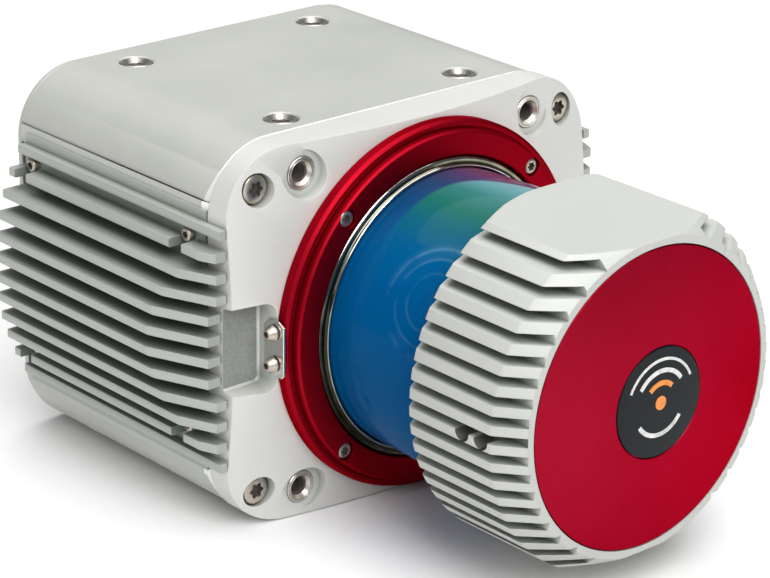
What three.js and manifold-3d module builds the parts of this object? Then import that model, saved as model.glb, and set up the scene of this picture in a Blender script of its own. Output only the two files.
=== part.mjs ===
// Compact airborne laser scanner: finned aluminium body, clamped tubular scan window with a
// spinning 45 degree mirror inside, and a finned end cap that carries the scan motor.
// Millimetres, +Z up.  The scan axis runs along Y; the end cap points to -Y.
import * as THREE from 'three';
import { mergeVertices } from 'three/addons/utils/BufferGeometryUtils.js';
import Module from 'manifold-3d';

const wasm = await Module();
wasm.setup();

// ---------------------------------------------------------------- driving dimensions
// Stations along Y are measured from the ring seat on the front plate (Y = 0, rear positive);
// heights are measured from the scan axis.  The finished group is moved to its origin at the end.
const BODY_HH = 62.5;            // half height of the body
const PLATE_HW = 75;             // half width of the front plate
const HOUSING_HW = 74.6;         // half width of the housing
const CORNER_R = 23;             // corner radius of the body section
const WALL = 4;                  // housing wall
const PLATE_BACK = 16;           // rear face of the front plate
const HOUSING_Y0 = 16.4, HOUSING_Y1 = 115.2;
const GASKET_Y0 = 115.5, GASKET_Y1 = 116.0;
const COVER_Y0 = 116.3, COVER_Y1 = 118.3;
const COVER_HW = 73.6;
const FACE_SLOPE = 0.282;        // the plate face falls back outside the ring
const GAP = 0.3;                 // assembly gap between neighbouring pieces

const FIN_COUNT = 12, FIN_PITCH = 7, FIN_T = 3;
const FIN_ARC_R = 76.1, FIN_ARC_X = 12.6;   // envelope of the fin tips seen along Y
const FIN_ROOT = 72.4, SINK_FACE = 75.4, SINK_HZ = 43.2;
const FIN_Y0 = 6, FIN_Y1 = 111.6, FIN_NOSE_X = 79.4, FIN_BEVEL_Y = 30.5, FIN_BEVEL_X = 88.7;

const RING_R = 61.3, RING_FACE = -7.5, RING_BORE = 50.35;
const RING_SCREW_R = 55.0;
const GLASS_R0 = 46.3, GLASS_R1 = 48.1, GLASS_T = 3.2;   // outer radius at the ring and at the cap
const CAP_R = 57.4, CAP_REAR = -57.3, CAP_FRONT = -101.2, CAP_CHAMFER_Y = -92.8, CAP_RIM_R = 50.7;
const CAP_FLAT = 50.1;           // top and bottom flats of the cap
const CAP_CORE_R = 50.4, CAP_CORE_REAR = -52.6, CAP_BORE_R = 48.6;   // floor of the cap slots, its rear end
const SLOT_FLOOR_MIN = 21;       // half-width left under the land by the outermost slots
const POCKET_Y = 9.0, POCKET_HZ = 15;
const SLOT_PITCH = 5.9, SLOT_T = 2.9, SLOT_SIDE = 8;
const DISC_R = 47.9, DISC_DOME = 3.8, EMBLEM_R = 17.5;

const PLATE_SCREW = [63.6, 50.2], PLATE_INSERT = [47.7, 52.7];
const TOP_INSERT_X = 37.5, TOP_INSERT_Y = [26.8, 101.8];

// ---------------------------------------------------------------- materials
const mat = (hex, rough, metal) =>
  new THREE.MeshStandardMaterial({ color: hex, roughness: rough, metalness: metal });
const SILVER = () => mat(0xc9ccc6, 0.45, 0.7);
const FACE = () => mat(0xdededa, 0.5, 0.6);
const STEEL = () => mat(0xb9b3a6, 0.25, 1.0);
const RED = () => mat(0xa50f26, 0.35, 0.6);
const CHROME = () => mat(0xd8d8d8, 0.08, 1.0);
const GLASS = () => mat(0x0a4f80, 0.05, 0.1);
const DARK = () => mat(0x1b1c1f, 0.5, 0.2);
const BOARD = () => mat(0x12502e, 0.6, 0.1);
const COPPER = () => mat(0xb4693a, 0.35, 0.9);

// ---------------------------------------------------------------- geometry helpers
// A three.js geometry as a closed solid: weld the seams, drop slivers, turn the faces outward.
function solid(geometry) {
  const g = geometry.clone();
  for (const a of ['normal', 'uv', 'uv1']) if (g.attributes[a]) g.deleteAttribute(a);
  const m = mergeVertices(g, 1e-4);
  const p = m.attributes.position.array;
  const src = m.index.array;
  const tris = [];
  let volume = 0;
  for (let i = 0; i < src.length; i += 3) {
    const [a, b, c] = [src[i], src[i + 1], src[i + 2]];
    if (a === b || b === c || a === c) continue;
    tris.push(a, b, c);
    const [ax, ay, az, bx, by, bz, cx, cy, cz] =
      [a, b, c].flatMap((k) => [p[3 * k], p[3 * k + 1], p[3 * k + 2]]);
    volume += ax * (by * cz - bz * cy) - ay * (bx * cz - bz * cx) + az * (bx * cy - by * cx);
  }
  if (volume < 0) for (let i = 0; i < tris.length; i += 3) tris.splice(i, 3, tris[i], tris[i + 2], tris[i + 1]);
  return new wasm.Manifold(new wasm.Mesh({
    numProp: 3,
    vertProperties: new Float32Array(p),
    triVerts: new Uint32Array(tris),
  }));
}

function toGeometry(body) {
  const m = body.getMesh();
  const g = new THREE.BufferGeometry();
  g.setAttribute('position', new THREE.BufferAttribute(new Float32Array(m.vertProperties), 3));
  g.setIndex(new THREE.BufferAttribute(new Uint32Array(m.triVerts), 1));
  g.computeVertexNormals();
  return g;
}

// Solid of revolution about Y from [radius, y] pairs; the profile closes on itself or on the axis.
function turned(profile, segments = 64) {
  const pts = profile.map(([r, y]) => new THREE.Vector2(r, y));
  const onAxis = profile[0][0] === 0 && profile[profile.length - 1][0] === 0;
  if (!onAxis) pts.push(pts[0].clone());
  return new THREE.LatheGeometry(pts, segments);
}
const ringY = (r0, r1, y0, y1, seg = 48) => turned([[r0, y0], [r1, y0], [r1, y1], [r0, y1]], seg);
const discY = (r, y0, y1, seg = 48) => turned([[0, y0], [r, y0], [r, y1], [0, y1]], seg);

// A turned piece moved and pointed along X, Y or Z.
function place(g, { axis = 'y', x = 0, y = 0, z = 0 } = {}) {
  const c = g.clone();
  if (axis === 'x') c.rotateZ(-Math.PI / 2);
  if (axis === '-x') c.rotateZ(Math.PI / 2);
  if (axis === 'z') c.rotateX(Math.PI / 2);
  return c.translate(x, y, z);
}

// Shape drawn in X-Z and extruded along Y, or drawn in X-Y and extruded along Z.
function prismY(shape, y0, y1, seg = 8) {
  return new THREE.ExtrudeGeometry(shape, { depth: y1 - y0, bevelEnabled: false, curveSegments: seg })
    .rotateX(Math.PI / 2).translate(0, y1, 0);
}
function prismZ(shape, z0, z1, seg = 8) {
  return new THREE.ExtrudeGeometry(shape, { depth: z1 - z0, bevelEnabled: false, curveSegments: seg })
    .translate(0, 0, z0);
}
function roundRect(hw, hh, r, cx = 0, cy = 0) {
  const s = new THREE.Shape();
  s.moveTo(cx - hw + r, cy - hh);
  s.lineTo(cx + hw - r, cy - hh).absarc(cx + hw - r, cy - hh + r, r, -Math.PI / 2, 0, false);
  s.lineTo(cx + hw, cy + hh - r).absarc(cx + hw - r, cy + hh - r, r, 0, Math.PI / 2, false);
  s.lineTo(cx - hw + r, cy + hh).absarc(cx - hw + r, cy + hh - r, r, Math.PI / 2, Math.PI, false);
  s.lineTo(cx - hw, cy - hh + r).absarc(cx - hw + r, cy - hh + r, r, Math.PI, 1.5 * Math.PI, false);
  return s;
}
const polygon = (points) => new THREE.Shape(points.map(([a, b]) => new THREE.Vector2(a, b)));
const block = (x0, x1, y0, y1, z0, z1) =>
  new THREE.BoxGeometry(x1 - x0, y1 - y0, z1 - z0)
    .translate((x0 + x1) / 2, (y0 + y1) / 2, (z0 + z1) / 2);
const faceY = (x, z) => Math.max(0, FACE_SLOPE * (Math.hypot(x, z) - RING_R));

const scanner = new THREE.Group();
function put(name, body, material) {
  const geometry = body.isBufferGeometry ? toGeometry(solid(body)) : toGeometry(body);
  const mesh = new THREE.Mesh(geometry, material);
  mesh.name = name;
  scanner.add(mesh);
}

const CORNERS = [['tl', -1, 1], ['tr', 1, 1], ['bl', -1, -1], ['br', 1, -1]];

// Cap-head screw seen from its head side at y = 0, shank towards +Y, with a round drive recess.
const capScrew = (headR, headH, shankR, len, seg = 10) => turned([
  [0, 0.55 * headH], [0.5 * headR, 0.55 * headH], [0.5 * headR, 0], [headR, 0], [headR, headH],
  [shankR, headH], [shankR, len], [0, len]], seg);
// Threaded sleeve with its mouth chamfer at y = 0, running towards +Y.
const sleeve = (outerR, holeR, len, seg = 14) => turned([
  [holeR + 0.9, 0], [outerR, 0], [outerR, len], [holeR, len], [holeR, 0.9]], seg);

// ---------------------------------------------------------------- body
{
  // Housing: rounded tube, side walls relieved for the heat sinks, holes for the top inserts.
  let h = solid(prismY(roundRect(HOUSING_HW, BODY_HH, CORNER_R), HOUSING_Y0, HOUSING_Y1, 9));
  h = h.subtract(solid(prismY(
    roundRect(HOUSING_HW - WALL, BODY_HH - WALL, CORNER_R - WALL), HOUSING_Y0 - 5, HOUSING_Y1 + 5, 6)));
  for (const s of [-1, 1]) {
    const x0 = FIN_ROOT - GAP, x1 = 90, zz = SINK_HZ + GAP;
    h = h.subtract(solid(block(Math.min(s * x0, s * x1), Math.max(s * x0, s * x1),
      HOUSING_Y0 - 5, HOUSING_Y1 + 5, -zz, zz)));
    for (const y of TOP_INSERT_Y) {
      h = h.subtract(solid(place(discY(5.6, 0, 30, 20), { axis: 'z', x: s * TOP_INSERT_X, y, z: 50 })));
    }
  }
  put('main_housing', h, SILVER());
}
for (const s of [-1, 1]) {
  TOP_INSERT_Y.forEach((y, i) => {
    const g = place(sleeve(5.3, 3.0, 9), { axis: 'z' }).rotateX(Math.PI)
      .translate(s * TOP_INSERT_X, y, BODY_HH - 0.2);
    put(`top_insert_${i ? 'rear' : 'front'}_${s < 0 ? 'left' : 'right'}`, g, STEEL());
  });
}
{
  // Front plate: rounded slab whose face falls back in a shallow cone outside the ring seat.
  let p = solid(prismY(roundRect(PLATE_HW, BODY_HH, CORNER_R - 0.6), -2, PLATE_BACK, 9));
  p = p.intersect(solid(turned([
    [0, 0], [RING_R, 0], [115, FACE_SLOPE * (115 - RING_R)], [115, 20], [0, 20]], 48)));
  p = p.subtract(solid(discY(50.6, -5, 6, 48))).subtract(solid(discY(45, 4, 25, 40)));
  for (const [, sx, sz] of CORNERS) {
    const [x, z] = [sx * PLATE_SCREW[0], sz * PLATE_SCREW[1]];
    const f = faceY(x, z);
    p = p.subtract(solid(place(discY(5.35, f - 8, f + 4.3, 16), { x, z })));
    p = p.subtract(solid(place(discY(2.9, f, 30, 8), { x, z })));
    const [u, w] = [sx * PLATE_INSERT[0], sz * PLATE_INSERT[1]];
    const e = faceY(u, w);
    p = p.subtract(solid(place(discY(7.5, e - 8, e + 1.6, 20), { x: u, z: w })));
    p = p.subtract(solid(place(discY(5.7, e, 30, 12), { x: u, z: w })));
    const q = RING_SCREW_R * Math.SQRT1_2;
    p = p.subtract(solid(place(discY(1.8, -5, 9, 8), { x: sx * q, z: sz * q })));
  }
  // Pocket in the left edge for the ring lock.
  const pocket = roundRect(15, POCKET_HZ, 4.5, -75.6, 0);
  p = p.subtract(solid(prismY(pocket, -5, POCKET_Y, 6)));
  for (const z of [-5.2, 5.2]) {
    p = p.subtract(solid(place(discY(1.4, 0, 6, 10), { axis: 'x', x: -60.8, y: 2.2, z })));
  }
  put('front_plate', p, FACE());
}
for (const [tag, sx, sz] of CORNERS) {
  const [x, z] = [sx * PLATE_SCREW[0], sz * PLATE_SCREW[1]];
  put(`front_plate_screw_${tag}`, place(capScrew(4.6, 2.8, 2.5, 8.2, 12), { x, y: faceY(x, z) + 1.2, z }),
    STEEL());
  const [u, w] = [sx * PLATE_INSERT[0], sz * PLATE_INSERT[1]];
  put(`front_insert_${tag}`, place(sleeve(5.3, 3.0, 10), { x: u, y: faceY(u, w) + 1.5, z: w }), STEEL());
}
put('rear_gasket', solid(prismY(roundRect(COVER_HW - 0.8, BODY_HH - 1.6, CORNER_R - 1.5), GASKET_Y0, GASKET_Y1, 7))
  .subtract(solid(prismY(roundRect(COVER_HW - 4, BODY_HH - 5, CORNER_R - 5), GASKET_Y0 - 1, GASKET_Y1 + 1, 5))),
DARK());
{
  let c = solid(prismY(roundRect(COVER_HW, BODY_HH - 0.8, CORNER_R - 0.8), COVER_Y0, COVER_Y1, 9));
  c = c.subtract(solid(place(discY(10.3, 110, 125, 20), { x: -34, z: -22 })));
  c = c.subtract(solid(place(discY(8.3, 110, 125, 20), { x: 2, z: -22 })));
  c = c.subtract(solid(place(discY(3.6, 110, 125, 16), { x: 36, z: -22 })));
  put('rear_cover', c, SILVER());
}
// Panel connectors, each closed by its screw-on dust cap.
const capped = (r, flange) => turned([
  [0, 112], [r - GAP, 112], [r - GAP, COVER_Y1 + GAP], [flange, COVER_Y1 + GAP], [flange, COVER_Y1 + 2],
  [r, COVER_Y1 + 2], [r, 126.4], [r - 0.6, 127], [0, 127]], 24);
put('connector_power', place(capped(10.3, 13), { x: -34, z: -22 }), DARK());
put('connector_data', place(capped(8.3, 11), { x: 2, z: -22 }), DARK());
put('antenna_port', place(capped(3.6, 5), { x: 36, z: -22 }), COPPER());

// ---------------------------------------------------------------- side heat sinks
// The screws sit just above the second fin from each end.
const SCREW_Z = [-29.2, 34.2], SCREW_Y = [23.5, 105.5], NOTCHED_FIN_Z = 4.5 * FIN_PITCH;
function heatSink(side) {
  // Section in X-Z: base plate and twelve fins whose tips follow an arc.
  const pts = [[FIN_ROOT, -SINK_HZ], [SINK_FACE, -SINK_HZ]];
  for (let i = 0; i < FIN_COUNT; i++) {
    const z = (i - (FIN_COUNT - 1) / 2) * FIN_PITCH;
    const x = FIN_ARC_X + Math.sqrt(FIN_ARC_R ** 2 - z ** 2);
    pts.push([SINK_FACE, z - FIN_T / 2], [x, z - FIN_T / 2], [x, z + FIN_T / 2], [SINK_FACE, z + FIN_T / 2]);
  }
  pts.push([SINK_FACE, SINK_HZ], [FIN_ROOT, SINK_HZ]);
  let h = solid(prismY(polygon(pts), FIN_Y0, FIN_Y1));
  // The fins overhang the front plate: no base there, and their corners are bevelled in plan.
  h = h.subtract(solid(block(60, 75.3 + GAP, 0, HOUSING_Y0 + 0.3, -60, 60)));
  h = h.subtract(solid(prismZ(polygon([[FIN_NOSE_X, FIN_Y0 + 0.6], [FIN_BEVEL_X + 0.4, FIN_BEVEL_Y + 1],
    [100, FIN_BEVEL_Y + 1], [100, -5], [70, -5], [70, FIN_Y0]]), -60, 60)));
  h = h.subtract(solid(block(SINK_FACE + GAP, 80, -2, HOUSING_Y0, SINK_HZ - 2, 60)));
  // The middle fins of the left side stop short beside the pocket of the front plate.
  if (side < 0) h = h.subtract(solid(block(70, 100, -2, POCKET_Y + GAP, -POCKET_HZ, POCKET_HZ)));
  // Tool access that breaks fins 2 and 11 right through, and the clearance holes of the four screws.
  for (const z of SCREW_Z) {
    const finZ = Math.sign(z) * NOTCHED_FIN_Z;
    for (const y of SCREW_Y) {
      h = h.subtract(solid(place(discY(3.1, 0, 20, 16), { axis: 'x', x: SINK_FACE + 0.1, y, z })));
      h = h.subtract(solid(block(SINK_FACE + 0.1, 95, y - 3.1, y + 3.1, finZ - 2.1, finZ + 2.7)));
      h = h.subtract(solid(place(discY(1.8, 0, 12, 12), { axis: 'x', x: 68, y, z })));
    }
  }
  return h;
}
for (const [side, s] of [['left', -1], ['right', 1]]) {
  const g = toGeometry(heatSink(s));
  if (s < 0) g.scale(-1, 1, 1);
  put(`heat_sink_${side}`, g, SILVER());
  for (const z of SCREW_Z) {
    SCREW_Y.forEach((y, i) => {
      const screw = capScrew(2.3, 2.2, 1.5, 4.8, 8);
      const x = s * (SINK_FACE + 2.5);
      put(`heat_sink_screw_${side}_${z > 0 ? 'top' : 'bottom'}_${i ? 'rear' : 'front'}`,
        place(screw, { axis: s < 0 ? 'x' : '-x', x, y, z }), STEEL());
    });
  }
}

// ---------------------------------------------------------------- window clamp ring
{
  let r = solid(turned([
    [RING_BORE, RING_FACE], [57.9, RING_FACE], [58.4, RING_FACE + 0.5], [58.4, -3.9], [59.0, -3.9],
    [59.0, -4.5], [60.3, -4.5], [RING_R, -3.5], [RING_R, -GAP], [RING_BORE, -GAP]], 56));
  const q = RING_SCREW_R * Math.SQRT1_2;
  for (const [, sx, sz] of CORNERS) {
    r = r.subtract(solid(place(discY(3.4, RING_FACE - 4, RING_FACE + 3.2, 14), { x: sx * q, z: sz * q })));
    r = r.subtract(solid(place(discY(1.9, RING_FACE, 5, 8), { x: sx * q, z: sz * q })));
  }
  r = r.subtract(solid(block(-70, -60.5, -20, 5, -10.2, 10.2)));
  put('window_ring', r, RED());
  for (const [tag, sx, sz] of CORNERS) {
    put(`ring_screw_${tag}`, place(capScrew(2.8, 2.2, 1.4, 13, 10), { x: sx * q, y: RING_FACE + 0.6, z: sz * q }),
      STEEL());
  }
}
{
  // Ring lock: small plate with cut corners, held on the notch by two tapered-head screws.
  const plate = prismY(polygon([[-4.4, -8.3], [-3.4, -9.3], [2.6, -9.3], [5.2, -6.7], [5.2, 6.7], [2.6, 9.3],
    [-2.0, 9.3], [-4.4, 7.7]]), 60.9, 61.9);
  plate.rotateZ(Math.PI / 2);
  let c = solid(plate);
  for (const z of [-5.2, 5.2]) {
    c = c.subtract(solid(place(discY(1.5, 0, 6, 10), { axis: 'x', x: -64, y: 0.2, z })));
  }
  put('ring_lock_clip', c, CHROME());
  [['upper', 5.2], ['lower', -5.2]].forEach(([tag, z]) => put(`clip_screw_${tag}`,
    place(turned([[0, 1.4], [1.0, 1.4], [1.0, 0], [1.5, 0], [2.6, 2.1], [2.6, 2.9], [1.15, 2.9], [1.15, 4.0],
      [0, 4.0]], 12), { axis: 'x', x: -65.1, y: 0.2, z }), STEEL()));
}

// ---------------------------------------------------------------- scan window
put('window_rim', turned([
  [46.7, -8.4], [47.4, -8.4], [48.0, -7.3], [49.2, -7.3], [50.0, -6.4], [50.0, 4.7], [46.7, 4.7]], 48),
CHROME());
put('window_seal', ringY(45.2, 50.2, 5.0, 5.7, 32), DARK());
{
  const r = (y) => GLASS_R0 + (GLASS_R1 - GLASS_R0) * Math.max(0, -8 - y) / 49;
  put('scan_window', turned([
    [r(0), 4.7], [r(0), -8], [r(-59), -59], [r(-59) - GLASS_T, -59], [r(0) - GLASS_T, -8], [r(0) - GLASS_T, 4.7]],
  56), GLASS());
}
put('cap_seal', ringY(45.2, 48.3, -60.1, -59.4, 32), DARK());

// ---------------------------------------------------------------- end cap
{
  let c = solid(turned([
    [CAP_BORE_R, CAP_CORE_REAR], [CAP_CORE_R, CAP_CORE_REAR], [CAP_R, CAP_REAR], [CAP_R, CAP_CHAMFER_Y],
    [CAP_RIM_R, CAP_FRONT], [DISC_R + GAP, CAP_FRONT], [DISC_R + GAP, -98.0], [44, -98.0], [44, -66],
    [11.4, -66], [11.4, -60.4], [CAP_BORE_R, -60.4]], 60));
  // Upper and lower flats, with a hood that carries the top land back over the window.
  for (const s of [-1, 1]) {
    c = c.subtract(solid(block(-70, 70, -120, -40, Math.min(s * CAP_FLAT, s * 80), Math.max(s * CAP_FLAT, s * 80))));
  }
  const hood = solid(prismZ(polygon([[-27.9, -59], [-27.9, -57.3], [-20.1, -53.1], [-13.5, -49.8], [-9, -48.2],
    [-4, -47], [2.5, -45.7], [25, -45.7], [27.9, -48], [27.9, -59]]), 42.9, CAP_FLAT));
  c = c.add(hood.subtract(solid(discY(CAP_BORE_R, -70, -40, 60))));
  // Horizontal slots milled right through, from the rear to the front annulus.
  for (let k = -SLOT_SIDE; k <= SLOT_SIDE; k++) {
    const z = k * SLOT_PITCH;
    const floor = Math.max(SLOT_FLOOR_MIN, Math.sqrt(CAP_CORE_R ** 2 - z ** 2));
    for (const s of [-1, 1]) {
      c = c.subtract(solid(block(Math.min(s * floor, s * 80), Math.max(s * floor, s * 80), -103, -40,
        z - SLOT_T / 2, z + SLOT_T / 2)));
    }
  }
  // Two tool holes reach through the fins to the locking screws of the motor.
  for (const [y, z] of [[-80.5, -1.6], [-88.5, -1.6]]) {
    c = c.subtract(solid(place(discY(2.9, 0, 14, 16), { axis: 'x', x: -64, y, z })));
  }
  put('end_cap_housing', c, FACE());
}
{
  // Domed cover disc with a seat for the round badge.
  const dome = (r) => CAP_FRONT - DISC_DOME * (1 - (r / DISC_R) ** 2);
  const pts = [[0, -98.3], [DISC_R, -98.3], [DISC_R, CAP_FRONT + 0.1]];
  for (const r of [40, 30]) pts.push([r, dome(r)]);
  pts.push([EMBLEM_R + 0.3, dome(EMBLEM_R + 0.3)], [EMBLEM_R + 0.3, dome(0) + 1.4], [0, dome(0) + 1.4]);
  put('end_cap_disc', turned(pts, 48), RED());
  const badge = [[0, dome(0) + 1.1], [EMBLEM_R, dome(0) + 1.1]];
  for (const r of [EMBLEM_R, 9]) badge.push([r, dome(r) - 0.15]);
  badge.push([0, dome(0) - 0.15]);
  put('end_cap_badge', turned(badge, 32), DARK());
}

// ---------------------------------------------------------------- scan motor (inside the cap)
put('motor_housing', turned([
  [32, -66.4], [36, -66.4], [36, -94.5], [11.3, -94.5], [11.3, -91], [32, -91]], 32), DARK());
put('motor_stator', ringY(17, 31.6, -89, -68, 28), COPPER());
put('bearing_front', ringY(4.6, 11, -94.3, -89.8, 18), STEEL());
put('bearing_rear', ringY(4.6, 11.1, -65.5, -60.8, 18), STEEL());
put('motor_magnet', ringY(4.6, 16.4, -88, -69, 24), DARK());
put('motor_shaft', discY(4.3, -95.4, -57.2, 14), STEEL());
put('encoder_disc', discY(24, -96.8, -95.8, 32), GLASS());

// ---------------------------------------------------------------- spinning mirror
const MIRROR_R = 24, MIRROR_Y = -27;
put('mirror_hub', discY(30, -56.9, -53.5, 36), SILVER());
{
  // Drum cut at 45 degrees towards the body; the mirror plate lies on the cut.
  const slab = (d0, d1) => prismY(roundRect(60, 60, 5), d0, d1, 2)
    .rotateX(-Math.PI / 4).translate(0, MIRROR_Y, 0);
  put('mirror_body', solid(discY(MIRROR_R, -53.2, -1, 28)).subtract(solid(slab(0, 120))), SILVER());
  put('scan_mirror', solid(discY(MIRROR_R, -80, 30, 28)).intersect(solid(slab(GAP, 3.3))), CHROME());
}

// ---------------------------------------------------------------- optics and electronics
put('receiver_tube', ringY(33, 36, 17, 84, 32), DARK());
put('receiver_lens', turned([[0, 22], [16, 22.8], [32.6, 26], [32.6, 30], [0, 30]], 28), GLASS());
put('detector_board', block(-30, 30, 84.6, 86.2, -30, 30), BOARD());
put('laser_module', block(40, 66, 24, 92, -18, 18), DARK());
put('main_board', block(-58, 58, 24, 108, -46, -44.4), BOARD());
put('power_board', block(-50, 50, 24, 108, 44.4, 46), BOARD());

// ---------------------------------------------------------------- origin: centre of the footprint, underside
const MID_Y = (127 + CAP_FRONT - DISC_DOME - 0.15) / 2;
scanner.position.set(0, -MID_Y, BODY_HH);
scanner.name = 'laser_scanner';
export default scanner;
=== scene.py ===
import math

import bmesh
import bpy
from mathutils import Matrix, Vector


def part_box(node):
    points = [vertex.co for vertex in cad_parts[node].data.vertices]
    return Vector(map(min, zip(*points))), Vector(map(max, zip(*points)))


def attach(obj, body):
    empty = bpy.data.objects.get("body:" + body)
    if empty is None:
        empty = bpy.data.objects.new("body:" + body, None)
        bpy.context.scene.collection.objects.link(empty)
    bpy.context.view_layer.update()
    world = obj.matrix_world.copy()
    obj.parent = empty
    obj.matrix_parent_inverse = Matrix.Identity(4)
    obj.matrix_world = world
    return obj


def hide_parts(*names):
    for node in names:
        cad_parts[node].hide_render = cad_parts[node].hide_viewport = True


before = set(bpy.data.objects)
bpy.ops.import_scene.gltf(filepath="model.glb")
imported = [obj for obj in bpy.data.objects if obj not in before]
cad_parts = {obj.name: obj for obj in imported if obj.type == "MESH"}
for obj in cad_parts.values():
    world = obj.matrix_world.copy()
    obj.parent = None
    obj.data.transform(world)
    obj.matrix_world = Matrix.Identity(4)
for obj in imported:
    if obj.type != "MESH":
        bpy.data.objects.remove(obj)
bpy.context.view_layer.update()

# ------------------------------------------------------------------ frame of reference
# Shapes are written in millimetres from the ring seat: x right, y towards the rear, z from the scan axis.
SEAT_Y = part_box("window_ring")[1].y * 1000 + 0.3
AXIS_Z = (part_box("main_housing")[0].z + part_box("main_housing")[1].z) * 500
BODY = "scanner_body"

# places shared by the holes and the parts that sit in them
FACE_SLOPE, FACE_START = 0.282, 61.3
PLATE_SCREW = (63.6, 50.2)
PLATE_INSERT = (47.7, 52.7)
CLAMP_SCREW = 55.0 * math.sqrt(0.5)
TOP_INSERT_X, TOP_INSERT_Y = 37.5, (26.8, 101.8)
SINK_SCREW_Z, SINK_SCREW_Y = (-29.2, 34.2), (23.5, 105.5)
LOCK_SCREW_Y, LOCK_SCREW_Z = 0.2, 5.2
CONNECTOR_Z = -22
# x and radius of each
CONNECTORS = {"power": (-34, 10.3), "data": (2, 8.3), "antenna": (36, 3.6)}


def P(x, y, z):
    """A point in metres in the shared frame, from millimetres in the frame of reference above."""
    return Vector((x / 1000, (y + SEAT_Y) / 1000, (z + AXIS_Z) / 1000))


def face_y(x, z):
    """Where the front plate's shallow cone lies at x, z."""
    return FACE_SLOPE * (math.hypot(x, z) - FACE_START)


# ------------------------------------------------------------------ mesh helpers
def mesh_object(name, verts, faces):
    me = bpy.data.meshes.new(name)
    me.from_pydata([P(*v) for v in verts], [], faces)
    bm = bmesh.new()
    bm.from_mesh(me)
    bmesh.ops.remove_doubles(bm, verts=bm.verts, dist=1e-7)
    bmesh.ops.recalc_face_normals(bm, faces=bm.faces)
    bm.to_mesh(me)
    bm.free()
    ob = bpy.data.objects.new(name, me)
    bpy.context.collection.objects.link(ob)
    return ob


def rings_mesh(name, loops, close_ends=True, loop_back=False):
    """Skin over closed loops with the same number of points."""
    n = len(loops[0])
    verts = [p for loop in loops for p in loop]
    faces = []
    m = len(loops)
    for i in range(m if loop_back else m - 1):
        a, b = i * n, ((i + 1) % m) * n
        for j in range(n):
            k = (j + 1) % n
            faces.append((a + j, a + k, b + k, b + j))
    if close_ends and not loop_back:
        faces.append(tuple(range(n)))
        faces.append(tuple(range((m - 1) * n, m * n)))
    return mesh_object(name, verts, faces)


def lathe(name, profile, seg=192, at=(0, 0), closed=False):
    """Turned about the Y axis at x, z = at; profile is (radius, y) pairs."""
    cx, cz = at
    loops = []
    for r, y in profile:
        rr = max(r, 1e-4)
        turns = [2 * math.pi * j / seg for j in range(seg)]
        loops.append([(cx + rr * math.cos(a), y, cz + rr * math.sin(a)) for a in turns])
    return rings_mesh(name, loops, close_ends=not closed, loop_back=closed)


def turn_to(ob, axis, origin):
    """Turn an object made along +Y about its origin point so that it lies along axis."""
    q = Vector((0, 1, 0)).rotation_difference(Vector(axis))
    o = P(*origin)
    ob.data.transform(Matrix.Translation(o) @ q.to_matrix().to_4x4() @ Matrix.Translation(-o))
    return ob


def moved(ob, dx, dy, dz):
    ob.data.transform(Matrix.Translation((dx / 1000, dy / 1000, dz / 1000)))
    return ob


def arc(cx, cy, r, a0, a1, n):
    """Points on an arc about cx, cy, from a0 to a1 in degrees."""
    angles = [math.radians(a0 + (a1 - a0) * i / n) for i in range(n + 1)]
    return [(cx + r * math.cos(a), cy + r * math.sin(a)) for a in angles]


def round_rect(hw, hh, r, n, cx=0.0, cy=0.0):
    """Outline with half sizes hw and hh, rounded corners and n steps to a corner."""
    return (arc(cx + hw - r, cy + hh - r, r, 0, 90, n) + arc(cx - hw + r, cy + hh - r, r, 90, 180, n)
            + arc(cx - hw + r, cy - hh + r, r, 180, 270, n) + arc(cx + hw - r, cy - hh + r, r, 270, 360, n))


def prism_y(name, outline, y0, y1):
    return rings_mesh(name, [[(x, y, z) for x, z in outline] for y in (y0, y1)])


def prism_z(name, outline, z0, z1):
    return rings_mesh(name, [[(x, y, z) for x, y in outline] for z in (z0, z1)])


def block(name, x0, x1, y0, y1, z0, z1):
    return prism_y(name, [(x0, z0), (x1, z0), (x1, z1), (x0, z1)], y0, y1)


def side_bore(radius, depth, seg, x, y, z):
    """A round cutter that starts at x and runs along +X."""
    c = lathe("c", [(0, 0), (radius, 0), (radius, depth), (0, depth)], seg)
    turn_to(c, (1, 0, 0), (0, 0, 0))
    return moved(c, x, y, z)


def apply_modifiers(ob):
    dg = bpy.context.evaluated_depsgraph_get()
    new = bpy.data.meshes.new_from_object(ob.evaluated_get(dg))
    ob.modifiers.clear()
    ob.data = new


def boolean(ob, others, how="DIFFERENCE"):
    """Cut or join a list of helper solids, and remove them."""
    if how == "DIFFERENCE" and len(others) > 1:
        bm = bmesh.new()
        for o in others:
            bm.from_mesh(o.data)
        me = bpy.data.meshes.new("cutters")
        bm.to_mesh(me)
        bm.free()
        tool = bpy.data.objects.new("cutters", me)
        bpy.context.collection.objects.link(tool)
        for o in others:
            bpy.data.objects.remove(o)
        others = [tool]
    for o in others:
        mod = ob.modifiers.new("b", "BOOLEAN")
        mod.operation = how
        mod.solver = "EXACT"
        mod.use_self = True
        mod.object = o
        apply_modifiers(ob)
        bpy.data.objects.remove(o)
    return ob


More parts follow.
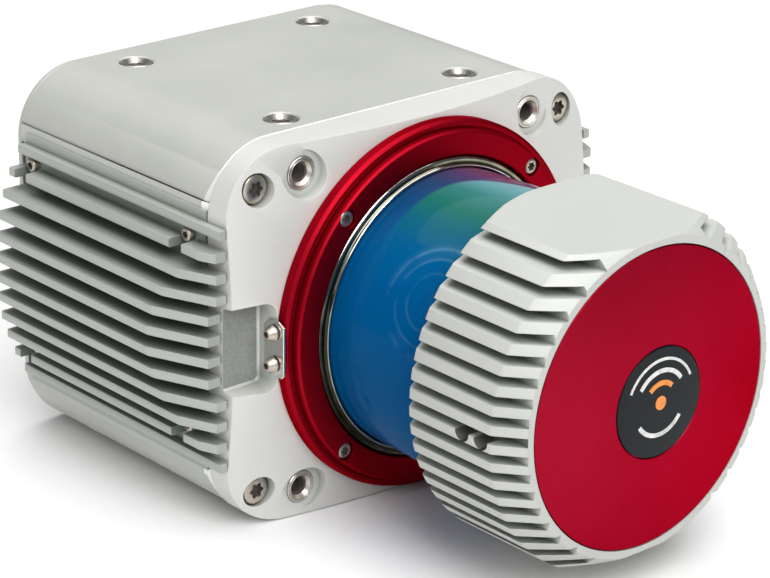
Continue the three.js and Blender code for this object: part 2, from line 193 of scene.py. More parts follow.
def finish(ob, material, body=BODY, stands_for=(), angle=32, bevel=0.0, pick=None):
    if bevel:
        m = ob.modifiers.new("bevel", "BEVEL")
        m.width = bevel / 1000
        m.segments = 2
        m.limit_method = "ANGLE"
        m.angle_limit = math.radians(40)
        m.harden_normals = False
        apply_modifiers(ob)
    ob.data.materials.clear()
    for mt in (material if isinstance(material, (list, tuple)) else [material]):
        ob.data.materials.append(mt)
    bm = bmesh.new()
    bm.from_mesh(ob.data)
    for f in bm.faces:
        f.smooth = True
        f.material_index = 0
        if pick:
            c = f.calc_center_median() * 1000
            f.material_index = pick(c.x, c.y - SEAT_Y, c.z - AXIS_Z, f.normal)
    for e in bm.edges:
        e.smooth = not (len(e.link_faces) == 2 and e.calc_face_angle(0) > math.radians(angle))
    bm.to_mesh(ob.data)
    bm.free()
    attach(ob, body)
    if stands_for:
        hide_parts(*([stands_for] if isinstance(stands_for, str) else stands_for))
    return ob


# ------------------------------------------------------------------ materials
def new_mat(name):
    m = bpy.data.materials.new(name)
    m.use_nodes = True
    nt = m.node_tree
    bsdf = nt.nodes["Principled BSDF"]
    return m, nt, bsdf


def add(nt, kind, **inputs):
    """A node with inputs set by name, where _ stands for a space."""
    n = nt.nodes.new(kind)
    for k, v in inputs.items():
        n.inputs[k.replace("_", " ")].default_value = v
    return n


def ramp(nt, fac, stops):
    r = nt.nodes.new("ShaderNodeValToRGB")
    r.color_ramp.elements.remove(r.color_ramp.elements[1])
    r.color_ramp.elements[0].position = stops[0][0]
    r.color_ramp.elements[0].color = (*stops[0][1], 1)
    for p, c in stops[1:]:
        e = r.color_ramp.elements.new(p)
        e.color = (*c, 1)
    nt.links.new(fac, r.inputs["Fac"])
    return r


def noise(nt, vector, scale, detail, roughness):
    n = add(nt, "ShaderNodeTexNoise", Scale=scale, Detail=detail, Roughness=roughness)
    nt.links.new(vector, n.inputs["Vector"])
    return n.outputs["Fac"]


def map_range(nt, value, low, high, start=0.0, end=1.0):
    n = add(nt, "ShaderNodeMapRange", From_Min=start, From_Max=end, To_Min=low, To_Max=high)
    nt.links.new(value, n.inputs["Value"])
    return n.outputs["Result"]


def bump_node(nt, height, strength, distance):
    n = add(nt, "ShaderNodeBump", Strength=strength, Distance=distance)
    nt.links.new(height, n.inputs["Height"])
    return n


def mix_color(nt, fac, a, b):
    """Mix two colours; b may be a plain colour."""
    n = nt.nodes.new("ShaderNodeMix")
    n.data_type = "RGBA"
    nt.links.new(fac, n.inputs[0])
    nt.links.new(a, n.inputs[6])
    if isinstance(b, tuple):
        n.inputs[7].default_value = (*b, 1)
    else:
        nt.links.new(b, n.inputs[7])
    return n.outputs[2]


def multiply_color(nt, a, b):
    n = nt.nodes.new("ShaderNodeMix")
    n.data_type = "RGBA"
    n.blend_type = "MULTIPLY"
    n.inputs[0].default_value = 1.0
    nt.links.new(a, n.inputs[6])
    nt.links.new(b, n.inputs[7])
    return n.outputs[2]


def blasted_metal(name, dark, light, rough=(0.36, 0.5), metallic=0.85, grain=2600.0, bump=0.05, painted_shade_reach=0.0):
    """Bead-blasted, anodised metal: fine grain in colour, roughness and bump, softened edges.

    The last argument is the reach in millimetres of a painted shade that darkens the colour in the object's
    own cavities and gaps."""
    m, nt, b = new_mat(name)
    tc = nt.nodes.new("ShaderNodeTexCoord")
    fine = noise(nt, tc.outputs["Object"], grain, 3.0, 0.6)
    cloud = noise(nt, tc.outputs["Object"], 22.0, 4.0, 0.55)
    mix = nt.nodes.new("ShaderNodeMix")
    mix.data_type = "FLOAT"
    mix.inputs[0].default_value = 0.5
    nt.links.new(fine, mix.inputs[2])
    nt.links.new(cloud, mix.inputs[3])
    col = ramp(nt, mix.outputs[0], [(0.3, dark), (0.7, light)])
    base = col.outputs["Color"]
    # painted shade: the base colour is darkened where the object's own geometry closes in around a point
    if painted_shade_reach:
        ao = nt.nodes.new("ShaderNodeAmbientOcclusion")
        ao.samples = 6
        ao.only_local = True
        ao.inputs["Distance"].default_value = painted_shade_reach / 1000
        shade = ramp(nt, ao.outputs["AO"], [(0.25, (0.36, 0.395, 0.37)), (0.60, (0.72, 0.75, 0.725)),
                                            (0.88, (1, 1, 1))])
        base = multiply_color(nt, base, shade.outputs["Color"])
    nt.links.new(base, b.inputs["Base Color"])
    nt.links.new(map_range(nt, mix.outputs[0], *rough, 0.3, 0.7), b.inputs["Roughness"])
    bv = nt.nodes.new("ShaderNodeBevel")
    bv.samples = 4
    bv.inputs["Radius"].default_value = 0.00028
    bp = bump_node(nt, fine, bump, 0.0002)
    nt.links.new(bv.outputs["Normal"], bp.inputs["Normal"])
    nt.links.new(bp.outputs["Normal"], b.inputs["Normal"])
    b.inputs["Metallic"].default_value = metallic
    return m


def turned_metal(name, color, rough=0.22, lines=900.0, metallic=1.0, strength=0.15):
    """Machined or polished metal with fine tool marks."""
    m, nt, b = new_mat(name)
    tc = nt.nodes.new("ShaderNodeTexCoord")
    mp = nt.nodes.new("ShaderNodeMapping")
    mp.inputs["Scale"].default_value = (1.0, 6.0, 1.0)
    nt.links.new(tc.outputs["Object"], mp.inputs["Vector"])
    marks = noise(nt, mp.outputs["Vector"], lines, 2.0, 0.5)
    c = ramp(nt, marks, [(0.25, tuple(v * 0.82 for v in color)),
                         (0.75, tuple(min(1, v * 1.08) for v in color))])
    nt.links.new(c.outputs["Color"], b.inputs["Base Color"])
    nt.links.new(map_range(nt, marks, rough * 0.75, rough * 1.4), b.inputs["Roughness"])
    nt.links.new(bump_node(nt, marks, strength, 0.00005).outputs["Normal"], b.inputs["Normal"])
    b.inputs["Metallic"].default_value = metallic
    return m


def plain_detail(name, color, rough=0.5, metallic=0.0, scale=400.0, bump=0.08):
    """Rubber, plastic, paint or board: one colour that varies a quarter either way with a fine grain."""
    m, nt, b = new_mat(name)
    tc = nt.nodes.new("ShaderNodeTexCoord")
    grain = noise(nt, tc.outputs["Object"], scale, 5.0, 0.6)
    c = ramp(nt, grain, [(0.3, tuple(v * 0.75 for v in color)),
                         (0.7, tuple(min(1, v * 1.25) for v in color))])
    nt.links.new(c.outputs["Color"], b.inputs["Base Color"])
    nt.links.new(map_range(nt, grain, max(0.02, rough - 0.08), min(1, rough + 0.1)), b.inputs["Roughness"])
    nt.links.new(bump_node(nt, grain, bump, 0.0001).outputs["Normal"], b.inputs["Normal"])
    b.inputs["Metallic"].default_value = metallic
    return m


SILVER = blasted_metal("silver_blasted", (0.45, 0.46, 0.43), (0.53, 0.54, 0.505), rough=(0.46, 0.58),
                       metallic=0.35, painted_shade_reach=8.0)
FIN = blasted_metal("fin_blasted", (0.37, 0.39, 0.36), (0.44, 0.455, 0.425), rough=(0.46, 0.58),
                    metallic=0.35, painted_shade_reach=15.0)
FACE = blasted_metal("face_blasted", (0.60, 0.60, 0.575), (0.69, 0.69, 0.66), rough=(0.46, 0.58),
                     metallic=0.35, grain=1700.0, bump=0.10, painted_shade_reach=9.0)
CAPMET = blasted_metal("cap_blasted", (0.45, 0.46, 0.435), (0.53, 0.54, 0.51), rough=(0.56, 0.68),
                       metallic=0.25, painted_shade_reach=4.0)
# painted shade: the plate's metal made darker for the floor of the recessed pocket
POCKET_SHADE = blasted_metal("pocket_floor_painted_shade", (0.20, 0.21, 0.20), (0.36, 0.37, 0.35), rough=(0.5, 0.62),
                       metallic=0.35, grain=900.0, bump=0.12)
HOLE = blasted_metal("hole_shadow", (0.10, 0.105, 0.09), (0.15, 0.155, 0.14), metallic=0.3)
# lighter machined metal on the cut chamfers, and partly a painted highlight along them
CUT_EDGE_HIGHLIGHT = turned_metal("cut_edge_and_painted_highlight", (0.86, 0.87, 0.86), rough=0.34, metallic=0.35, strength=0.04)
RED = blasted_metal("red_anodised", (0.27, 0.003, 0.010), (0.34, 0.005, 0.016), rough=(0.42, 0.54),
                    metallic=1.0, bump=0.03)
DISC_RED = blasted_metal("disc_red_anodised", (0.27, 0.005, 0.017), (0.38, 0.010, 0.030), rough=(0.33, 0.44),
                         metallic=1.0, grain=1900.0, bump=0.12)
for red in (RED, DISC_RED):
    red.node_tree.nodes["Principled BSDF"].inputs["Specular Tint"].default_value = (0.85, 0.24, 0.32, 1)
STEEL = turned_metal("turned_steel", (0.54, 0.485, 0.42), rough=0.36)
INSERT = turned_metal("insert_steel", (0.62, 0.585, 0.54), rough=0.34)
# painted shade: dark steel for the insides of screw drives, sockets and thread flanks
RECESS_SHADE = turned_metal("recess_painted_shade", (0.085, 0.072, 0.058), rough=0.5, metallic=0.3)
# painted shade: near-black steel for the thread roots and the flanks that face away from the opening
GROOVE_SHADE = turned_metal("thread_groove_painted_shade", (0.03, 0.026, 0.022), rough=0.5, metallic=0.5)
CLIP = turned_metal("polished_clip", (0.70, 0.70, 0.67), rough=0.16, strength=0.06)
BLACK_RUBBER = plain_detail("black_rubber", (0.02, 0.02, 0.02), rough=0.7)
BLACK_METAL = plain_detail("black_anodised", (0.03, 0.03, 0.034), rough=0.38, metallic=0.4)
BADGE = plain_detail("badge_black", (0.006, 0.009, 0.011), rough=0.4, scale=900.0)
BADGE.node_tree.nodes["Principled BSDF"].inputs["Specular IOR Level"].default_value = 0.15
COPPER = plain_detail("copper_gold", (0.62, 0.36, 0.14), rough=0.3, metallic=0.95)
BOARD = plain_detail("circuit_green", (0.02, 0.16, 0.07), rough=0.45, scale=250.0)
MIRROR = turned_metal("front_mirror", (0.92, 0.93, 0.94), rough=0.03, strength=0.0)
WHITE_INK = plain_detail("white_print", (0.58, 0.58, 0.56), rough=0.4)
ORANGE_INK = plain_detail("orange_print", (0.75, 0.24, 0.03), rough=0.4)


def math_node(nt, op, a, b=None, clamp=False):
    n = nt.nodes.new("ShaderNodeMath")
    n.operation = op
    n.use_clamp = clamp
    for i, v in enumerate((a, b)):
        if v is None:
            continue
        if isinstance(v, (int, float)):
            n.inputs[i].default_value = v
        else:
            nt.links.new(v, n.inputs[i])
    return n.outputs[0]


def srgb(r, g, b):
    """Linear colour from display values of 0 to 255."""
    def lin(v):
        v /= 255
        return v / 12.92 if v <= 0.04045 else ((v + 0.055) / 1.055) ** 2.4
    return lin(r), lin(g), lin(b)


def place_in_mm(nt):
    """Object coordinates, and x, y and z in millimetres from the ring seat and the scan axis."""
    tc = nt.nodes.new("ShaderNodeTexCoord")
    sep = nt.nodes.new("ShaderNodeSeparateXYZ")
    nt.links.new(tc.outputs["Object"], sep.inputs[0])
    x, y, z = [math_node(nt, "MULTIPLY", sep.outputs[axis], 1000.0) for axis in "XYZ"]
    return tc.outputs["Object"], x, math_node(nt, "SUBTRACT", y, SEAT_Y), math_node(nt, "SUBTRACT", z, AXIS_Z)


def angle_about_axis(nt, x, z):
    """Degrees about the scan axis: 90 at the top, 180 at the left and 270 at the bottom.

    Right of the top it falls to 75, 15 degrees over, and rises from there to 150 at the right."""
    turn = math_node(nt, "ARCTAN2", math_node(nt, "MULTIPLY", x, -1.0), z)
    from_top = math_node(nt, "MULTIPLY", turn, 180 / math.pi)
    folded = math_node(nt, "ABSOLUTE", math_node(nt, "ADD", from_top, 15.0))
    return math_node(nt, "ADD", folded, 75.0)


def radius_about_axis(nt, x, z):
    squares = math_node(nt, "ADD", math_node(nt, "MULTIPLY", x, x), math_node(nt, "MULTIPLY", z, z))
    return math_node(nt, "SQRT", squares)


def coated_glass(name):
    """Multi-layer coating on glass, blue in its own colour on the flanks; the teal, green and pale colours
    towards the top, and the violet band next to the clamp ring, are painted sheen and reflection of the
    coating."""
    m, nt, b = new_mat(name)
    place, x, y, z = place_in_mm(nt)
    # painted sheen and reflection: the coating's colours are set by place about the scan axis
    wave = math_node(nt, "SUBTRACT", noise(nt, place, 14.0, 2.0, 0.5), 0.5)
    angle = math_node(nt, "ADD", angle_about_axis(nt, x, z), math_node(nt, "MULTIPLY", wave, 10.0))
    fac = math_node(nt, "DIVIDE", math_node(nt, "SUBTRACT", angle, 70.0), 80.0, clamp=True)
    far = ramp(nt, fac, [(0.05, srgb(128, 160, 168)), (0.22, srgb(92, 140, 146)), (0.34, srgb(50, 112, 108)),
                         (0.48, srgb(28, 98, 88)), (0.62, srgb(16, 88, 108)), (0.80, srgb(2, 80, 128)),
                         (1.0, srgb(0, 76, 128))])
    near = ramp(nt, fac, [(0.05, srgb(108, 58, 86)), (0.20, srgb(74, 56, 94)), (0.34, srgb(36, 60, 96)),
                          (0.55, srgb(12, 66, 112)), (0.85, srgb(0, 78, 130)), (1.0, srgb(0, 76, 128))])
    # the painted violet sheen band next to the ring is 17.5 mm wide on the flanks and widens towards the top
    rise = math_node(nt, "DIVIDE", math_node(nt, "SUBTRACT", 102.0, angle), 8.5)
    edge = math_node(nt, "MULTIPLY", math_node(nt, "EXPONENT", rise), -1.0)
    edge = math_node(nt, "ADD", edge, -17.5)
    mask = math_node(nt, "DIVIDE", math_node(nt, "SUBTRACT", y, edge), 1.6, clamp=True)
    col = mix_color(nt, mask, far.outputs["Color"], near.outputs["Color"])
    # painted reflection: faint light circles on the coating
    gap = nt.nodes.new("ShaderNodeVectorMath")
    gap.operation = "DISTANCE"
    gap.inputs[1].default_value = P(-40, -47, 24)
    nt.links.new(place, gap.inputs[0])
    reach = 24
    strengths = ((8.2, 0), (9.0, 0.10), (9.9, 0), (13.2, 0), (13.9, 0.16), (14.8, 0.03), (16.6, 0.03),
                 (17.6, 0.24), (18.4, 0.06), (20.0, 0))
    reflection_circle_ramp = ramp(nt, math_node(nt, "MULTIPLY", gap.outputs["Value"], 1000 / reach),
                   [(r / reach, (v, v, v)) for r, v in strengths])
    patches = ramp(nt, noise(nt, place, 75.0, 3.0, 0.6), [(0.40, (0, 0, 0)), (0.62, (1, 1, 1))])
    reflection_rings_painted = math_node(nt, "MULTIPLY", reflection_circle_ramp.outputs["Color"], patches.outputs["Color"])
    col = mix_color(nt, reflection_rings_painted, col, srgb(120, 170, 200))
    nt.links.new(col, b.inputs["Base Color"])
    b.inputs["Roughness"].default_value = 0.06
    b.inputs["Specular IOR Level"].default_value = 0.04
    b.inputs["Alpha"].default_value = 0.88
    return m


def bezel_metal(name):
    """Polished bezel whose colours are painted reflection: bright outer chamfer and inner lip, dark flat
    between them, with fine turned lines.
    """
    m, nt, b = new_mat(name)
    place, x, _, z = place_in_mm(nt)
    across = math_node(nt, "SUBTRACT", radius_about_axis(nt, x, z), 46.4)
    fac = math_node(nt, "DIVIDE", across, 4.0, clamp=True)
    # painted reflection: the dark and light bands across the bezel stand for the surroundings it mirrors
    dark = ramp(nt, fac, [(0.0, (0.62, 0.58, 0.50)), (0.24, (0.66, 0.62, 0.54)),
                          (0.30, (0.035, 0.034, 0.026)), (0.52, (0.05, 0.05, 0.03)),
                          (0.56, (0.16, 0.17, 0.06)), (0.60, (0.035, 0.034, 0.026)),
                          (0.80, (0.03, 0.03, 0.025)), (0.86, (0.72, 0.72, 0.69))])
    light = ramp(nt, fac, [(0.0, (0.80, 0.78, 0.72)), (0.26, (0.74, 0.72, 0.66)), (0.34, (0.22, 0.22, 0.17)),
                           (0.46, (0.10, 0.10, 0.07)), (0.54, (0.34, 0.34, 0.20)), (0.66, (0.46, 0.45, 0.38)),
                           (0.80, (0.56, 0.55, 0.50)), (0.86, (0.90, 0.90, 0.87))])
    # painted reflection: light at the top and the bottom, dark at the left and in between at the right
    around = math_node(nt, "SUBTRACT", angle_about_axis(nt, x, z), 90.0)
    where = ramp(nt, math_node(nt, "DIVIDE", around, 180.0, clamp=True),
                 [(0.18, (1, 1, 1)), (0.46, (0, 0, 0)), (0.76, (0, 0, 0)), (0.90, (0.8, 0.8, 0.8))])
    band = mix_color(nt, where.outputs["Color"], dark.outputs["Color"], light.outputs["Color"])
    streak = ramp(nt, noise(nt, place, 160.0, 3.0, 0.6), [(0.35, (0.6, 0.6, 0.6)), (0.65, (1.0, 1.0, 1.0))])
    nt.links.new(multiply_color(nt, band, streak.outputs["Color"]), b.inputs["Base Color"])
    b.inputs["Metallic"].default_value = 1.0
    b.inputs["Roughness"].default_value = 0.11
    return m


GLASS = coated_glass("coated_glass")
BEZEL = bezel_metal("bezel_painted_reflection")
LENS = plain_detail("lens_coating", (0.02, 0.06, 0.14), rough=0.06, scale=30.0, bump=0.0)

# ------------------------------------------------------------------ housing
CORNER_R = 23.0


def housing_section(inset=0.0):
    """Half of the section runs from the top centre down the right side; the other half is its mirror."""
    hw, hh, r = 74.6 - inset, 62.5 - inset, CORNER_R - inset
    turns = [math.radians(90 * i / 28) for i in range(29)]
    right = [(0, hh)] + [(hw - r + r * math.sin(a), hh - r + r * math.cos(a)) for a in turns]
    # ledges and a groove above the heat sink
    right += [(hw, 45.6), (73.2 - inset, 45.2), (73.2 - inset, 44.3), (72.1 - inset, 43.6)]
    low = [(x, -z) for x, z in reversed(right)]
    side = right + low
    left = [(-x, z) for x, z in reversed(side[1:-1])]
    return side + left


def housing():
    """Hollow rounded tube with chamfered ends and seats for the top inserts."""
    front, rear_end = 16.4, 115.2
    base, inner = housing_section(0.0), housing_section(4.0)

    def chamfer(x, z):
        """The front chamfer grows wider down the sides."""
        return 2.6 * max(0.0, min(1.0, (56.0 - abs(z)) / 11.0)) if abs(x) > 60 else 0.0
    loops = [[(x, front, z) for x, z in housing_section(0.6)],
             [(x, 16.95 + chamfer(x, z), z) for x, z in base],
             [(x, 114.9, z) for x, z in base],
             [(x, rear_end, z) for x, z in housing_section(0.3)],
             [(x, rear_end, z) for x, z in inner],
             [(x, front, z) for x, z in inner]]
    ob = rings_mesh("housing_shell", loops, loop_back=True)
    cuts = []
    for x in (-TOP_INSERT_X, TOP_INSERT_X):
        for y in TOP_INSERT_Y:
            c = lathe("c", [(5.6, 0), (5.6, 12.0), (6.6, 13.0), (6.6, 14)], 64)
            turn_to(c, (0, 0, 1), (0, 0, 0))
            cuts.append(moved(c, x, y, 50))
    boolean(ob, cuts)

    # the front and rear chamfers take the cut-edge material with its painted highlight
    def zone(x, y, z, n):
        front_edge = y < 20 and -0.9 < n.y < -0.12 and math.hypot(x, z) > 62
        rear_edge = y > 114.8 and 0.12 < n.y < 0.9 and math.hypot(x, z) > 61
        return int(front_edge or rear_edge)
    finish(ob, [SILVER, CUT_EDGE_HIGHLIGHT], stands_for="main_housing", pick=zone)


housing()


def front_plate():
    """Slab whose front is a shallow cone, with the window's opening, corner bores and the lock's pocket."""
    ob = prism_y("plate_slab", round_rect(75.0, 62.5, CORNER_R - 0.6, 30), -2, 16)
    far = 115
    cone = lathe("cone", [(0, 0.0), (FACE_START, 0.0), (far, face_y(far, 0)), (far, 30), (0, 30)], 256)
    boolean(ob, [cone], "INTERSECT")
    cuts = [lathe("c", [(0, -6), (50.6, -6), (50.6, 6), (45, 6), (45, 30), (0, 30)], 192)]
    for sx in (-1, 1):
        for sz in (-1, 1):
            x, z = sx * PLATE_SCREW[0], sz * PLATE_SCREW[1]
            f = face_y(x, z)
            screw_bore = [(0, f - 8), (5.35, f - 8), (5.35, f + 4.3), (2.9, f + 4.3), (2.9, 30), (0, 30)]
            cuts.append(lathe("c", screw_bore, 64, (x, z)))
            x, z = sx * PLATE_INSERT[0], sz * PLATE_INSERT[1]
            f = face_y(x, z)
            insert_bore = [(0, f - 8), (7.6, f - 8), (7.6, f + 1.5), (5.5, f + 1.9), (5.5, 30), (0, 30)]
            cuts.append(lathe("c", insert_bore, 64, (x, z)))
    steps = ((-6, 15.2, 15.4, 4.6), (0.4, 15.0, 15.0, 4.4), (8.3, 14.55, 13.75, 2.2), (9.0, 13.9, 13.1, 1.4))
    pocket = rings_mesh("c", [[(x, y, z) for x, z in round_rect(hw, hh, r, 10, -75.6, 0)]
                              for y, hw, hh, r in steps])
    boolean(ob, cuts)
    boolean(ob, [pocket])

    def zone(x, y, z, n):
        """1 for the pocket's floor, painted darker as shade."""
        return int(x <= -60 and abs(z) <= 14.6 and n.y <= -0.3 and y > 8.9)
    finish(ob, [FACE, POCKET_SHADE], stands_for="front_plate", angle=28, pick=zone)


front_plate()


# ------------------------------------------------------------------ side heat sinks
def heat_sink(side):
    """Twelve fins whose tips lie on a large arc; made on the right and mirrored for the left."""
    pitch, half, root, face, edge = 7.0, 1.5, 72.4, 75.4, 0.45
    pts = [(root, -43.2), (face, -43.2)]
    for i in range(12):
        z = (i - 5.5) * pitch
        x = 12.6 + math.sqrt(76.1 ** 2 - z * z)
        pts += [(face, z - half), (x - edge, z - half), (x - edge * 0.3, z - half + edge * 0.3),
                (x, z - half + edge), (x, z + half - edge), (x - edge * 0.3, z + half - edge * 0.3),
                (x - edge, z + half), (face, z + half)]
    pts += [(face, 43.2), (root, 43.2)]
    ob = prism_y("fin_block_" + side, pts, 6, 111.6)
    cuts = [block("c", 60, 75.6, 0, 16.7, -60, 60),
            prism_z("c", [(79.4, 6.6), (89.1, 31.5), (100, 31.5), (100, -5), (70, -5), (70, 6.0)], -60, 60),
            block("c", 75.7, 80, -2, 16.4, 41.2, 60)]
    if side == "left":
        cuts.append(block("c", 70, 100, -2, 9.3, -15, 15))
    for c in cuts:
        boolean(ob, [c])
    holes = []
    for z in SINK_SCREW_Z:
        for y in SINK_SCREW_Y:
            fin_z = math.copysign(4.5 * pitch, z)
            boolean(ob, [block("c", 75.5, 95, y - 3.1, y + 3.1, fin_z - 2.1, fin_z + 2.7)])
            holes.append(side_bore(3.1, 20, 40, 75.5, y, z))
    boolean(ob, holes)
    if side == "left":
        ob.data.transform(Matrix.Scale(-1, 4, (1, 0, 0)))
        ob.data.flip_normals()
    finish(ob, FIN, stands_for="heat_sink_" + side)


heat_sink("left")
heat_sink("right")


# ------------------------------------------------------------------ screws and threaded inserts
def finish_turned(ob, node, at, axis, materials, zone, angle):
    """Pick each face's material while the object still lies along Y, then turn it to its axis."""
    zones = [zone(f) for f in ob.data.polygons]
    turn_to(ob, axis, at)
    finish(ob, materials, stands_for=node, angle=angle)
    for f, index in zip(ob.data.polygons, zones):
        f.material_index = index


def star_screw(name, node, at, axis, head_r, head_h, drive_r):
    """Six-lobe drive screw: loops of points from the shank over the head into the recess."""
    dome, shank = 0.25, 2.0
    n = 72
    x, y, z = at
    neck_r, flank_r, floor_r = head_r * 0.45, head_r * 0.93, drive_r * 0.4

    def loop(radius, depth, lobes=0.0):
        pts = []
        for j in range(n):
            a = 2 * math.pi * j / n
            r = radius * (1 + lobes * math.cos(6 * a))
            pts.append((x + r * math.cos(a), y + depth, z + r * math.sin(a)))
        return pts
    loops = [loop(neck_r, head_h + shank), loop(neck_r, head_h), loop(head_r, head_h),
             loop(head_r, dome + 0.25), loop(flank_r, dome), loop(head_r * 0.7, 0.0),
             loop(drive_r * 1.16, 0.0), loop(drive_r, 0.0, 0.16), loop(drive_r * 0.96, head_h * 0.62, 0.16),
             loop(floor_r, head_h * 0.7)]
    ob = rings_mesh(name, loops)
    o = P(*at)

    def zone(f):
        """0 head, 1 recess, painted dark as shade."""
        c = f.center - o
        across, depth = math.hypot(c.x, c.z) * 1000, c.y * 1000
        return int(across < drive_r * 1.12 and dome * 0.5 < depth < head_h * 0.75)
    finish_turned(ob, node, at, axis, [STEEL, RECESS_SHADE], zone, 35)


def thread_insert(name, node, at, axis):
    """Sleeve with a grooved rim and a threaded bore that ends on a floor."""
    outer, length = 5.3, 9.0
    crest, root, mouth = 2.55, 3.1, 1.3
    profile = [(outer, length), (outer, 0.25), (outer - 0.25, 0.0), (outer - 0.6, 0.0), (outer - 0.75, 0.25),
               (outer - 0.95, 0.25), (outer - 1.1, 0.05), (outer - 1.3, 0.05), (root, mouth)]
    y = mouth
    while y < length - 1.2:
        profile += [(root, y + 0.2), (crest, y + 0.45), (crest, y + 0.8), (root, y + 1.0)]
        y += 1.0
    profile += [(crest, length - 0.2), (0.01, length - 0.2), (0.01, length)]
    ob = lathe(name, [(r, at[1] + d) for r, d in profile], 64, (at[0], at[2]))
    o = P(*at)

    def zone(f):
        """0 bright steel, 1 thread groove painted dark as shade, 2 thread flank that faces the opening,
        painted dark as shade.
        """
        c = (f.center - o) * 1000
        if c.y < mouth or not crest + 0.05 < math.hypot(c.x, c.z) < root + 0.02:
            return 0
        return 2 if 0.25 < (c.y - mouth) % 1.0 < 0.4 else 1
    finish_turned(ob, node, at, axis, [INSERT, GROOVE_SHADE, RECESS_SHADE], zone, 18)


for tag, sx, sz in (("tl", -1, 1), ("tr", 1, 1), ("bl", -1, -1), ("br", 1, -1)):
    x, z = sx * PLATE_SCREW[0], sz * PLATE_SCREW[1]
    star_screw("plate_screw_" + tag, "front_plate_screw_" + tag, (x, face_y(x, z) + 1.2, z), (0, 1, 0),
               4.55, 2.8, 2.35)
    x, z = sx * PLATE_INSERT[0], sz * PLATE_INSERT[1]
    thread_insert("plate_insert_" + tag, "front_insert_" + tag, (x, face_y(x, z) + 1.5, z), (0, 1, 0))
    x, z = sx * CLAMP_SCREW, sz * CLAMP_SCREW
    star_screw("clamp_screw_" + tag, "ring_screw_" + tag, (x, -6.9, z), (0, 1, 0), 2.75, 2.2, 1.4)
for sx, side in ((-1, "left"), (1, "right")):
    for y, end in zip(TOP_INSERT_Y, ("front", "rear")):
        thread_insert(f"top_sleeve_{end}_{side}", f"top_insert_{end}_{side}", (sx * TOP_INSERT_X, y, 62.35),
                      (0, 0, -1))
    for z, lev in zip(SINK_SCREW_Z, ("bottom", "top")):
        for y, end in zip(SINK_SCREW_Y, ("front", "rear")):
            star_screw(f"sink_screw_{side}_{lev}_{end}", f"heat_sink_screw_{side}_{lev}_{end}",
                       (sx * 77.9, y, z), (-sx, 0, 0), 2.3, 2.2, 1.2)


# ------------------------------------------------------------------ window clamp ring, lock and rim
def window_ring():
    """Clamp ring with a stepped flange, four screw bores and a notch for the lock."""
    f = -7.5
    ob = lathe("clamp_ring", [
        (50.35, f + 0.35), (50.7, f), (57.5, f), (57.8, f + 0.08), (58.3, f + 0.6), (58.4, f + 0.8),
        (58.4, -4.0), (58.5, -3.9), (58.9, -3.9), (59.0, -4.0), (59.0, -4.4), (59.1, -4.5), (60.1, -4.5),
        (60.35, -4.43), (61.22, -3.55), (61.3, -3.4), (61.3, -0.3), (50.35, -0.3)], 256, closed=True)
    bore = [(0, f - 4), (3.1, f - 4), (3.1, f + 3.2), (1.8, f + 3.2), (1.8, 4), (0, 4)]
    cuts = []
    for x in (-CLAMP_SCREW, CLAMP_SCREW):
        for z in (-CLAMP_SCREW, CLAMP_SCREW):
            cuts.append(lathe("c", bore, 48, (x, z)))
    boolean(ob, cuts)
    boolean(ob, [block("c", -70, -60.5, -20, 5, -10.2, 10.2)])
    finish(ob, RED, stands_for="window_ring", angle=22)


window_ring()

rim = lathe("rim_polished", [
    (46.7, -8.0), (46.9, -8.3), (47.2, -8.4), (47.5, -8.3), (47.7, -7.9), (47.9, -7.4), (48.2, -7.3),
    (48.9, -7.3), (49.3, -7.2), (49.9, -6.6), (50.0, -6.2), (50.0, 4.7), (46.7, 4.7)], 256, closed=True)
finish(rim, BEZEL, stands_for="window_rim", angle=60)


def lock_clip():
    """Thin plate in the pocket whose outline has cut corners."""
    plan = [(-4.4, -8.3), (-3.4, -9.3), (2.6, -9.3), (5.2, -6.7), (5.2, 6.7), (2.6, 9.3), (-2.0, 9.3),
            (-4.4, 7.7)]
    ob = rings_mesh("lock_plate", [[(x, y, z) for y, z in plan] for x in (-61.9, -60.9)])
    boolean(ob, [side_bore(1.5, 6, 32, -64, LOCK_SCREW_Y, z) for z in (-LOCK_SCREW_Z, LOCK_SCREW_Z)])
    finish(ob, CLIP, stands_for="ring_lock_clip", bevel=0.22, angle=15)


lock_clip()


def lock_screw(tag, z):
    """Tapered head with a hexagon socket, its axis along X."""
    n = 60

    def loop(radius, depth, hexagon=False):
        pts = []
        for j in range(n):
            a = 2 * math.pi * j / n
            r = radius / math.cos((a % (math.pi / 3)) - math.pi / 6) if hexagon else radius
            pts.append((-65.1 + depth, LOCK_SCREW_Y + r * math.cos(a), z + r * math.sin(a)))
        return pts
    loops = [loop(1.15, 4.0), loop(1.15, 2.9), loop(2.5, 2.9), loop(2.62, 2.78), loop(2.62, 2.2),
             loop(2.5, 2.0), loop(1.75, 0.35), loop(1.5, 0.05), loop(1.25, 0.0), loop(0.95, 0.0, True),
             loop(0.9, 1.4, True), loop(0.2, 1.6)]

    def zone(px, py, pz, normal):
        """1 for the socket, painted dark as shade."""
        return int(-65.05 < px < -63.4 and math.hypot(py - LOCK_SCREW_Y, pz - z) < 1.1)
    finish(rings_mesh("lock_screw_" + tag, loops), [STEEL, RECESS_SHADE], stands_for="clip_screw_" + tag,
           angle=30, pick=zone)


lock_screw("upper", LOCK_SCREW_Z)
lock_screw("lower", -LOCK_SCREW_Z)

# ------------------------------------------------------------------ scan window
ring_r, cap_r, wall = 46.3, 48.1, 3.2
glass = lathe("window_tube", [
    (ring_r, 4.7), (ring_r, -8), (cap_r, -58.7), (cap_r - 0.3, -59), (cap_r - wall, -59), (ring_r - wall, -8),
    (ring_r - wall, 4.7)], 256, closed=True)
finish(glass, GLASS, stands_for="scan_window", angle=50)


# ------------------------------------------------------------------ end cap
CAP_FLAT = 50.1
TOOL_HOLE_Y, TOOL_HOLE_Z = (-80.5, -88.5), -1.6


